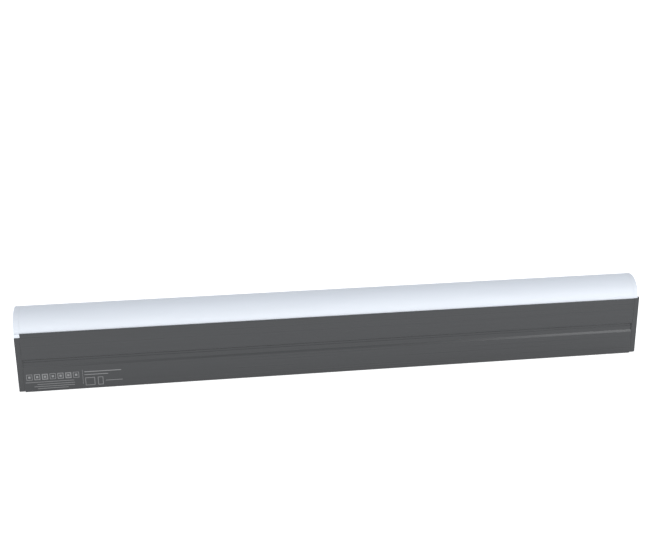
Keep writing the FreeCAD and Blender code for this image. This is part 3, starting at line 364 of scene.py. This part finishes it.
def shelf_drilling_steps(name):
    """Two evenly spaced rows of screw holes along the shelf, and one larger hole for the supply lead."""
    steps = Steps(name, **{"Row A": (0.0, 0.0, 0.0), "Row B": (0.0, 0.0, 0.0), "Feed": (0.0, 0.0, 0.0),
                           "Board Pitch": 0.24425, "Boards": 4, "Screw Hole": 0.00155, "Feed Hole": 0.0032,
                           "Drill": 0.006}, Finish=None)
    given = steps.given
    drill = steps.add("MeshCylinder", {"Vertices": 32, "Radius": given["Screw Hole"],
                                       "Depth": given["Drill"]})
    rows = [steps.add("MeshLine", {"Count": given["Boards"], "Start Location": given[row],
                                   "Offset": steps.vector(given["Board Pitch"])})
            for row in ("Row A", "Row B")]
    holes = [steps.add("RealizeInstances", dict(Geometry=steps.add("InstanceOnPoints", dict(
        Points=row, Instance=drill)))) for row in rows]
    feed = steps.add("MeshCylinder", {"Vertices": 48, "Radius": given["Feed Hole"], "Depth": given["Drill"]})
    holes.append(steps.add("Transform", dict(Geometry=feed, Translation=given["Feed"])))
    steps.end(steps.add("MeshBoolean", {"Mesh 1": given["Geometry"], "Mesh 2": holes}, operation="DIFFERENCE",
                        solver="EXACT"))
    return steps


EMITTERS_PER_BOARD, BOARD_SCREWS_AFTER = 12, (2, 10)
first_board, third_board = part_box("led_board_1"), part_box("led_board_3")
emitter_pitch = (first_board[1].x - first_board[0].x) / EMITTERS_PER_BOARD
shelf_middle = (SHELF_LOW + SHELF_TOP) / 2 * MM
housing = run_tree(shelf_drilling_steps("shelf_drilling"), undrilled.data, "housing_extrusion", "batten",
                   **{"Row A": (first_board[0].x + BOARD_SCREWS_AFTER[0] * emitter_pitch, 0, shelf_middle),
                      "Row B": (first_board[0].x + BOARD_SCREWS_AFTER[1] * emitter_pitch, 0, shelf_middle),
                      "Feed": (third_board[0].x + emitter_pitch, 0, shelf_middle)}, Finish=anodised)
bpy.data.objects.remove(undrilled)
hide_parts("housing")


# ---------------------------------------------------------------- diffuser
# A half-round tube of opal acrylic, extruded in one piece. Its two feet slide along the housing's grooves and
# its edges rest on the seals.
diffuser_low, diffuser_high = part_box("diffuser")
DOME_RADIUS, DOME_WALL, NECK_HALF, FOOT_HALF = diffuser_high.z / MM - top, 2.5, 29.8, 31.8
SEAL_HEIGHT, FOOT_CLEARANCE = 1, 0.2


def half_arch(radius, level, steps=44):
    """Quarter circle from the side to just short of the crown, where its mirror image takes over."""
    turns = [math.pi / 2 * i / (steps - 0.5) for i in range(steps)]
    return [(radius * math.cos(turn), level + radius * math.sin(turn)) for turn in turns]


def diffuser_loop():
    """From the crown down the outside, round the foot and back up the inside."""
    outside = half_arch(DOME_RADIUS, top)
    inside = half_arch(DOME_RADIUS - DOME_WALL, top)
    seat, low, foot_top = SEAT_LEVEL + SEAL_HEIGHT, diffuser_low.z / MM, GROOVE_TOP - FOOT_CLEARANCE
    foot = [(NECK_HALF, foot_top), (FOOT_HALF, foot_top), (FOOT_HALF, low),
            (NECK_HALF - DOME_WALL, low), (NECK_HALF - DOME_WALL, top)]
    half = (rounded(outside[::-1], 0) + rounded([(DOME_RADIUS, seat), (NECK_HALF, seat)] + foot, 0.3)
            + rounded(inside, 0))
    return mirrored(half)


opal = finish("opal_acrylic", (0.675, 0.71, 0.76), 0.5, tone=0.012, grain=(6, 60, 60), bump=0.004, detail=2,
              rough_range=0.04, Subsurface_Weight=0.12, Subsurface_Radius=(0.004, 0.004, 0.004),
              Subsurface_Scale=1.0)
diffuser = run_tree(drawn_section, section_curve("diffuser_section", [diffuser_loop()]), "diffuser_tube",
                    "batten", Start=diffuser_low.x, Length=diffuser_high.x - diffuser_low.x, Finish=opal)
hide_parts("diffuser")


# ---------------------------------------------------------------- diffuser caps and seals
# Two caps of the same opal acrylic close the diffuser's ends, each with a spigot inside the tube. The tube's
# edges rest on black rubber strips.
FLAT_WITHIN = 0.5  # degrees


def dress(material, *nodes):
    """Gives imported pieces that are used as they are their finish."""
    for node in nodes:
        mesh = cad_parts[node].data
        mesh.materials.clear()
        mesh.materials.append(material)


def softened(node, body, material, edge=0.3, steepest=35):
    """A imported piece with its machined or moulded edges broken, in place of the plain one."""
    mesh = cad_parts[node].data.copy()
    mesh.name = node + "_finished"
    mesh.materials.clear()
    mesh.materials.append(material)
    shape = bmesh.new()
    shape.from_mesh(mesh)
    bmesh.ops.remove_doubles(shape, verts=shape.verts, dist=WELD)
    bmesh.ops.dissolve_limit(shape, angle_limit=math.radians(FLAT_WITHIN), verts=shape.verts,
                             edges=shape.edges)
    for face in shape.faces:
        face.smooth = True
    shape.to_mesh(mesh)
    shape.free()
    mesh.set_sharp_from_angle(angle=math.radians(steepest))
    piece = new_object(mesh.name, mesh)
    bevel = piece.modifiers.new("broken_edges", "BEVEL")
    bevel.width, bevel.segments, bevel.limit_method = edge * MM, 2, "ANGLE"
    bevel.angle_limit = math.radians(steepest)
    bevel.use_clamp_overlap = False
    bevel.harden_normals = True
    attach(piece, body)
    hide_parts(node)
    return piece


black_rubber = finish("black_rubber", (0.022, 0.022, 0.023), 0.78, tone=0.15, grain=(900, 900, 900),
                      bump=0.02, detail=4, rough_range=0.08)
for end in ("left", "right"):
    softened("diffuser_cap_" + end, "batten", opal, edge=0.5)
dress(black_rubber, "diffuser_seals")

# ---------------------------------------------------------------- end plates and gaskets
# Milled aluminium plates, anodised with the housing, screwed over grey rubber gaskets. The left one stops
# below the diffuser's foot and the right one has a raised rim.
anodised_plate = finish("anodised_plate", (0.0495, 0.051, 0.053), 0.36, metal=0.35, tone=0.05,
                        grain=(500, 500, 500), bump=0.01, detail=5)
grey_rubber = finish("grey_rubber", (0.058, 0.0595, 0.0615), 0.6, tone=0.1, grain=(900, 900, 900), bump=0.02,
                     detail=4)
for end in ("left", "right"):
    softened("end_plate_" + end, "batten", anodised_plate, edge=0.35)
dress(grey_rubber, "end_gasket_left", "end_gasket_right")

# ---------------------------------------------------------------- end plate screws
# Four stainless cap screws at each end, with knurled heads and hexagon sockets, held in the extrusion's
# ports. Each is one copy of a screw that a geometry tree draws.
def screw_steps(name):
    """A knurled head with a bevelled rim and a cut socket, on a plain shank, with one copy on each point."""
    steps = Steps(name, **{"Head Radius": 0.0035, "Head Height": 0.004, "Key Radius": 0.0016,
                           "Key Depth": 0.002, "Shank Radius": 0.002, "Shank Length": 0.016, "Knurls": 36,
                           "Knurl Depth": 0.00012, "Key Sides": 6}, Finish=None)
    given = steps.given
    rim_points, bevel_height, bevel_scale = 144, 0.0003, 0.92
    circle = steps.add("CurvePrimitiveCircle", dict(Radius=1.0, Resolution=rim_points), mode="RADIUS")
    turn = steps.add("ShaderNodeMath", {0: steps.add("InputIndex"), 1: math.tau / rim_points},
                     operation="MULTIPLY")
    teeth = steps.add("ShaderNodeMath", {0: steps.add("ShaderNodeMath", {0: turn, 1: given["Knurls"]},
                                                      operation="MULTIPLY")}, operation="COSINE")
    radius = steps.add("ShaderNodeMath", {0: teeth, 1: given["Knurl Depth"], 2: given["Head Radius"]},
                       operation="MULTIPLY_ADD")
    lower = steps.add("ShaderNodeMath", {0: radius, 1: given["Knurl Depth"]}, operation="SUBTRACT")
    spot = steps.add("ShaderNodeVectorMath", {0: steps.add("InputPosition"), "Scale": lower},
                     operation="SCALE")
    rim = steps.add("SetPosition", dict(Geometry=circle, Position=spot))
    face = steps.add("FillCurve", dict(Curve=rim), mode="NGONS")
    side = steps.add("ShaderNodeMath", {0: given["Head Height"], 1: bevel_height}, operation="SUBTRACT")
    drawn = steps.add("ExtrudeMesh", {"Mesh": face, "Offset": steps.vector(z=1.0), "Offset Scale": side,
                                      "Individual": False})
    crown = drawn.node.outputs["Top"]
    raised = steps.add("ExtrudeMesh", {"Mesh": drawn, "Selection": crown, "Offset": steps.vector(z=1.0),
                                       "Offset Scale": bevel_height, "Individual": False})
    tapered = steps.add("ScaleElements", {"Geometry": raised, "Selection": raised.node.outputs["Top"],
                                          "Scale": bevel_scale})
    head = steps.add("JoinGeometry", dict(Geometry=[tapered, steps.add("FlipFaces", dict(Mesh=face))]))
    welded = steps.add("MergeByDistance", dict(Geometry=head, Distance=1e-6))
    key_height = steps.add("ShaderNodeMath", {0: given["Key Depth"], 1: 2.0}, operation="MULTIPLY")
    key = steps.add("MeshCylinder", {"Vertices": given["Key Sides"], "Radius": given["Key Radius"],
                                     "Depth": key_height})
    placed = steps.add("Transform", dict(Geometry=key, Translation=steps.vector(z=given["Head Height"])))
    cut = steps.add("MeshBoolean", {"Mesh 1": welded, "Mesh 2": [placed]}, operation="DIFFERENCE",
                    solver="EXACT")
    shank = steps.add("MeshCylinder", {"Vertices": 32, "Radius": given["Shank Radius"],
                                       "Depth": given["Shank Length"]})
    half = steps.add("ShaderNodeMath", {0: given["Shank Length"], 1: -0.5}, operation="MULTIPLY")
    sunk = steps.add("Transform", dict(Geometry=shank, Translation=steps.vector(z=half)))
    whole = steps.add("JoinGeometry", dict(Geometry=[cut, sunk]))
    along = steps.add("InputNamedAttribute", dict(Name="outward"), data_type="FLOAT_VECTOR")
    turned = steps.add("FunctionNodeAlignRotationToVector", dict(Vector=along), axis="Z")
    steps.end(steps.add("InstanceOnPoints", dict(Points=given["Geometry"], Instance=whole, Rotation=turned)))
    return steps


def stations(name, places, attribute="outward"):
    """Points in millimetres, each with a vector of its own: the way its piece faces, or its size."""
    mesh = bpy.data.meshes.new(name)
    mesh.from_pydata([[part * MM for part in place] for place, _ in places], [], [])
    vectors = mesh.attributes.new(attribute, "FLOAT_VECTOR", "POINT")
    for item, (_, vector) in zip(vectors.data, places):
        item.vector = vector
    return mesh


stainless = finish("stainless_steel", (0.42, 0.41, 0.40), 0.3, metal=1.0, tone=0.08, grain=(700, 700, 700),
                   bump=0.004, detail=4)
cap_screw = screw_steps("cap_screw")
SCREW_HEAD = 4
SCREW_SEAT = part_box("end_plate_screws_right")[1].x / MM - SCREW_HEAD
for end, side in (("left", -1), ("right", 1)):
    places = [((side * SCREW_SEAT, y, z), (side, 0, 0)) for y in (-PORT_Y, PORT_Y) for z in PORT_LEVELS]
    screws = run_tree(cap_screw, stations("screw_stations", places), f"plate_screws_{end}", "batten",
                      Finish=stainless)
    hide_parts("end_plate_screws_" + end)

# ---------------------------------------------------------------- sockets
# A power and a data inlet on the left, a power and a data outlet on the right: moulded nylon shells behind
# square flanges and an insert that holds plated contacts. All but the power inlet have a sprung latch, and
# two black screws hold each flange.
POWER_LEVEL, DATA_LEVEL = (sum(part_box("power_out_insert"), Vector()).z / 2 / MM,
                           sum(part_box("data_out_insert"), Vector()).z / 2 / MM)
socket_nylon = finish("socket_nylon", (0.018, 0.018, 0.0185), 0.5, tone=0.1, grain=(1400, 1400, 1400),
                      bump=0.012, detail=3, rough_range=0.07)
blue_insert = finish("blue_insert", (0.03, 0.12, 0.42), 0.42, tone=0.05, grain=(600, 600, 600), bump=0.008)
grey_insert = finish("grey_insert", (0.30, 0.31, 0.32), 0.45, tone=0.05, grain=(600, 600, 600), bump=0.008)
plated_contact = finish("plated_contact", (0.78, 0.60, 0.26), 0.25, metal=1.0, tone=0.06,
                        grain=(900, 900, 900), bump=0.003)
latch_zinc = finish("latch_zinc", (0.34, 0.34, 0.35), 0.35, metal=1.0, tone=0.07, grain=(800, 800, 800),
                    bump=0.006, detail=4)
black_steel = finish("black_steel", (0.03, 0.03, 0.031), 0.36, metal=0.7, tone=0.12, grain=(800, 800, 800),
                     bump=0.004, detail=4)
for socket in ("power_in", "data_in", "power_out", "data_out"):
    softened(socket + "_shell", "batten", socket_nylon, edge=0.25)
    blue = socket == "power_in"
    softened(socket + "_insert", "batten",
             blue_insert if blue else grey_insert, edge=0.15)
    dress(plated_contact, socket + "_contacts")
    if not blue:
        softened(socket + "_latch", socket + "_latch", latch_zinc, edge=0.2)

FLANGE_SCREW_Y, FLANGE_SCREW_Z, FLANGE_SCREW_SEAT = 9.8, 12.3, half_length - 1.5
places = [((side * FLANGE_SCREW_SEAT, corner * FLANGE_SCREW_Y, level + corner * FLANGE_SCREW_Z),
           (side, 0, 0))
          for side in (-1, 1) for level in (POWER_LEVEL, DATA_LEVEL) for corner in (-1, 1)]
SMALL_SCREW = {"Knurls": 0, "Knurl Depth": 0.0, "Key Radius": 0.0012, "Shank Radius": 0.0015}
flange_screws = run_tree(cap_screw, stations("flange_stations", places), "flange_screws", "batten",
                         Finish=black_steel, **SMALL_SCREW, **{
                             "Head Radius": 0.0026, "Head Height": 0.0014, "Key Depth": 0.0007,
                             "Shank Length": 0.0053})
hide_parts("socket_screws")

# ---------------------------------------------------------------- small parts of the end plates
# The test button in its bezel, the light pipe of the status lamp, the breather plug, and the stainless thread
# inserts for the safety eyes.
red_button = finish("red_button", (0.42, 0.02, 0.018), 0.38, tone=0.05, grain=(700, 700, 700), bump=0.006)
clear_pipe = finish("clear_pipe", (0.80, 0.84, 0.86), 0.12, tone=0.01, grain=(300, 300, 300), bump=0.002,
                    rough_range=0.03, Transmission_Weight=0.6)
dark_parts = finish("dark_parts", (0.03, 0.03, 0.032), 0.5, tone=0.2, grain=(400, 400, 400), bump=0.01)
softened("button_bezel", "batten", socket_nylon, edge=0.25)
softened("vent_plug", "batten", socket_nylon, edge=0.3)
softened("test_button", "test_button", red_button, edge=0.35)
softened("status_light_pipe", "batten", clear_pipe, edge=0.25)
dress(dark_parts, "button_switch", "status_lamp")


def thread_steps(name):
    """Cuts a right-handed thread into a bore, from a point that the bore's axis passes through."""
    steps = Steps(name, **{"Bore": 0.0033, "Depth": 0.0007, "Pitch": 0.00125, "Turns": 9.0,
                           "Place": (0.0, 0.0, 0.0), "Turn": (0.0, 0.0, 0.0)}, Finish=None)
    given = steps.given
    length = steps.add("ShaderNodeMath", {0: given["Pitch"], 1: given["Turns"]}, operation="MULTIPLY")
    helix = steps.add("CurveSpiral", {"Resolution": 28, "Rotations": given["Turns"], "Height": length,
                                      "Start Radius": given["Bore"], "End Radius": given["Bore"]})
    tooth = steps.add("CurvePrimitiveCircle", dict(Resolution=3, Radius=given["Depth"]), mode="RADIUS")
    cutter = steps.add("CurveToMesh", {"Curve": helix, "Profile Curve": tooth, "Fill Caps": True})
    placed = steps.add("Transform", dict(Geometry=cutter, Translation=given["Place"], Rotation=given["Turn"]))
    steps.end(steps.add("MeshBoolean", {"Mesh 1": given["Geometry"], "Mesh 2": [placed]},
                        operation="DIFFERENCE", solver="EXACT"))
    return steps


def threaded(node, body, slot, material, edge, depth=0.7 * MM, **bore):
    """A softened piece with a thread cut in its bore."""
    blank = softened(node, body, material, edge)
    mesh = bpy.data.meshes.new_from_object(blank.evaluated_get(bpy.context.evaluated_depsgraph_get()))
    bpy.data.objects.remove(blank)
    piece = run_tree(thread, mesh, node + "_threaded", body, smooth=12, Depth=depth, Finish=material, **bore)
    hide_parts(node)


thread = thread_steps("bolt_thread")
THREAD_LEAD_IN = 0.5 * MM
for end in ("left", "right"):
    low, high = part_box("safety_insert_" + end)
    threaded("safety_insert_" + end, "batten", "steel", stainless, 0.3, Turns=8.6, Turn=(0, math.pi / 2, 0),
             Place=(low.x - THREAD_LEAD_IN, (low.y + high.y) / 2, (low.z + high.z) / 2))

# ---------------------------------------------------------------- slide nuts
# Two zinc-plated nuts slide along the base slot and take the bolts of hanging brackets.
for end in ("left", "right"):
    low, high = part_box("slide_nut_" + end)
    threaded("slide_nut_" + end, "slide_nut_" + end, "steel", stainless, 0.12, depth=0.3 * MM, Turns=6.8,
             Place=((low.x + high.x) / 2, 0, low.z - THREAD_LEAD_IN))

# ---------------------------------------------------------------- LED boards
# Four white boards on a thermal pad along the shelf, each with twelve square packages, two screws, and bridge
# connectors between neighbours. Folded white reflectors stand beside them.
boards = [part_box(f"led_board_{number}") for number in (1, 2, 3, 4)]
emitter_seat = boards[0][1].z


def package_steps(name):
    """A package with a round cup cut in its top, and the same again as the phosphor that fills the cup."""
    steps = Steps(name, **{"Side": 0.005, "Height": 0.0016, "Cup": 0.0019, "Cup Depth": 0.0004,
                           "Filling": False}, Finish=None)
    given = steps.given
    half = steps.add("ShaderNodeMath", {0: given["Height"], 1: 0.5}, operation="MULTIPLY")
    size = steps.vector(given["Side"], given["Side"], given["Height"])
    body = steps.add("Transform", dict(Geometry=steps.add("MeshCube", dict(Size=size)),
                                       Translation=steps.vector(z=half)))
    cup = steps.add("MeshCylinder", {"Vertices": 20, "Radius": given["Cup"], "Depth": given["Cup Depth"]})
    raised = steps.add("Transform", dict(Geometry=cup, Translation=steps.vector(z=given["Height"])))
    hollow = steps.add("MeshBoolean", {"Mesh 1": body, "Mesh 2": [raised]}, operation="DIFFERENCE",
                       solver="EXACT")
    low = steps.add("ShaderNodeMath", {0: given["Cup Depth"], 1: -0.45, 2: given["Height"]},
                    operation="MULTIPLY_ADD")
    gel = steps.add("Transform", dict(Geometry=cup, Translation=steps.vector(z=low), Scale=(0.98, 0.98, 0.2)))
    choice = steps.add("Switch", {"Switch": given["Filling"], "False": hollow, "True": gel},
                       input_type="GEOMETRY")
    steps.end(steps.add("InstanceOnPoints", dict(Points=given["Geometry"], Instance=choice)))
    return steps


places = [(((board[0].x + emitter_pitch * (number + 0.5)) / MM, 0, emitter_seat / MM), (0, 0, 1))
          for board in boards for number in range(EMITTERS_PER_BOARD)]
led_package = package_steps("led_package")
white_ceramic = finish("white_ceramic", (0.78, 0.78, 0.76), 0.4, tone=0.02, grain=(900, 900, 900), bump=0.004)
phosphor = finish("phosphor", (0.80, 0.62, 0.12), 0.35, tone=0.06, grain=(1500, 1500, 1500), bump=0.01)
packages = run_tree(led_package, stations("emitter_stations", places), "led_packages", "batten",
                    Finish=white_ceramic)
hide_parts("led_emitters")
filling = run_tree(led_package, stations("phosphor_stations", places), "led_phosphor", "batten",
                   Finish=phosphor, Filling=True)

places = [(((board[0].x + emitter_pitch * number) / MM, 0, emitter_seat / MM), (0, 0, 1))
          for board in boards for number in BOARD_SCREWS_AFTER]
board_screws = run_tree(cap_screw, stations("board_screw_stations", places), "board_screws", "batten",
                        Finish=stainless, **SMALL_SCREW, **{
                            "Head Radius": 0.0028, "Head Height": 0.0016, "Key Depth": 0.0008,
                            "Shank Length": 0.0046})
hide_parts("led_board_screws")

white_mask = finish("white_mask", (0.74, 0.75, 0.73), 0.35, tone=0.03, grain=(250, 250, 250), bump=0.006)
grey_pad = finish("grey_pad", (0.20, 0.21, 0.23), 0.8, tone=0.1, grain=(900, 900, 900), bump=0.03)
reflector_film = finish("reflector_film", (0.82, 0.82, 0.81), 0.55, tone=0.02, grain=(300, 300, 300),
                        bump=0.01)
white_nylon = finish("white_nylon", (0.66, 0.66, 0.63), 0.5, tone=0.04, grain=(700, 700, 700), bump=0.01)
dress(white_mask, *[f"led_board_{number}" for number in (1, 2, 3, 4)])
dress(grey_pad, "thermal_pad")
dress(reflector_film, "reflector_strips")
dress(white_nylon, "led_board_connectors", "controller_standoffs", "cable_clips")

# ---------------------------------------------------------------- electronics and cables
# A galvanised tray slides along the lower rails, with the folded supply case and the controller on pillars.
# Round cables run along the rear wall under nylon clips.
galvanised = finish("galvanised_sheet", (0.40, 0.41, 0.42), 0.42, metal=1.0, tone=0.14, grain=(160, 160, 160),
                    bump=0.01, detail=5, rough_range=0.1)
green_board = finish("green_board", (0.02, 0.13, 0.045), 0.4, tone=0.12, grain=(500, 500, 500), bump=0.01,
                     detail=4)
cable_sheath = finish("cable_sheath", (0.016, 0.016, 0.017), 0.55, tone=0.15, grain=(600, 600, 600),
                      bump=0.02)
dress(galvanised, "electronics_tray", "supply_case", "supply_cover")
dress(stainless, "tray_screws", "controller_screws")
dress(green_board, "supply_board", "controller_board")
dress(dark_parts, "supply_components", "controller_components")
dress(cable_sheath, "mains_cables", "data_cables", "led_feed_cable")

# ---------------------------------------------------------------- printed block
# Screen-printed marks in light grey ink near the left end of the front face: seven plain squares, fine rules,
# a divider, three lines and two boxes. None of them is lettering.
INK_FILM = 0.03


def print_steps(name):
    """One thin film of ink on each point, stretched to the point's own width and height."""
    steps = Steps(name, Film=INK_FILM * MM, Finish=None)
    block = steps.add("MeshCube", dict(Size=steps.vector(1.0, steps.given["Film"], 1.0)))
    size = steps.add("InputNamedAttribute", dict(Name="extent"), data_type="FLOAT_VECTOR")
    steps.end(steps.add("InstanceOnPoints", dict(Points=steps.given["Geometry"], Instance=block,
                                                 Scale=size)))
    return steps


def bar(x, z, width, height):
    """A filled bar from its lower left corner, in millimetres."""
    return [((x + width / 2, -half_width - INK_FILM / 2, z + height / 2), (width * MM, 1, height * MM))]


def frame_of_bars(x, z, width, height, line=0.8, hairline=0.03):
    """The outline of a box, with a hairline between its bars so that each stays a closed film."""
    low, tall = z + line + hairline, height - 2 * (line + hairline)
    return (bar(x, z, width, line) + bar(x, z + height - line, width, line)
            + bar(x, low, line, tall) + bar(x + width - line, low, line, tall))


ink = finish("light_grey_ink", (0.21, 0.212, 0.215), 0.55, tone=0.06, grain=(500, 500, 500), bump=0.003)
SQUARES, SQUARE_START, SQUARE_PITCH, SQUARE_LEVEL, SQUARE_WIDTH, SQUARE_HEIGHT = 7, -487.6, 11.7, 19.5, 9, 9.5
DOT_WIDTH, DOT_HEIGHT, RULE_THICK = 3.4, 3.5, 0.75
marks = []
for number in range(SQUARES):
    left = SQUARE_START + SQUARE_PITCH * number
    marks += frame_of_bars(left, SQUARE_LEVEL, SQUARE_WIDTH, SQUARE_HEIGHT, line=0.7 + 0.35 * (number % 3))
    marks += bar(left + (SQUARE_WIDTH - DOT_WIDTH) / 2, SQUARE_LEVEL + (SQUARE_HEIGHT - DOT_HEIGHT) / 2,
                 DOT_WIDTH, DOT_HEIGHT)
for start, level, length in ((-489.5, 15.4, 73), (-472, 11.6, 56), (-477, 8, 61), (-472, 4.6, 46)):
    marks += bar(start, level, length, RULE_THICK)
marks += bar(-403.2, 8, 0.4, 24)
marks += bar(-400.3, 27.6, 56, 1.2) + bar(-400.3, 22.8, 36, 1.1)
marks += frame_of_bars(-399.6, 5.5, 14.6, 13) + frame_of_bars(-380.5, 5.5, 8.1, 13)
marks += bar(-368.5, 11.6, 25.5, 0.8)
printed_block = run_tree(print_steps("ink_film"), stations("print_places", marks, "extent"), "printed_block",
                         "batten", Finish=ink)
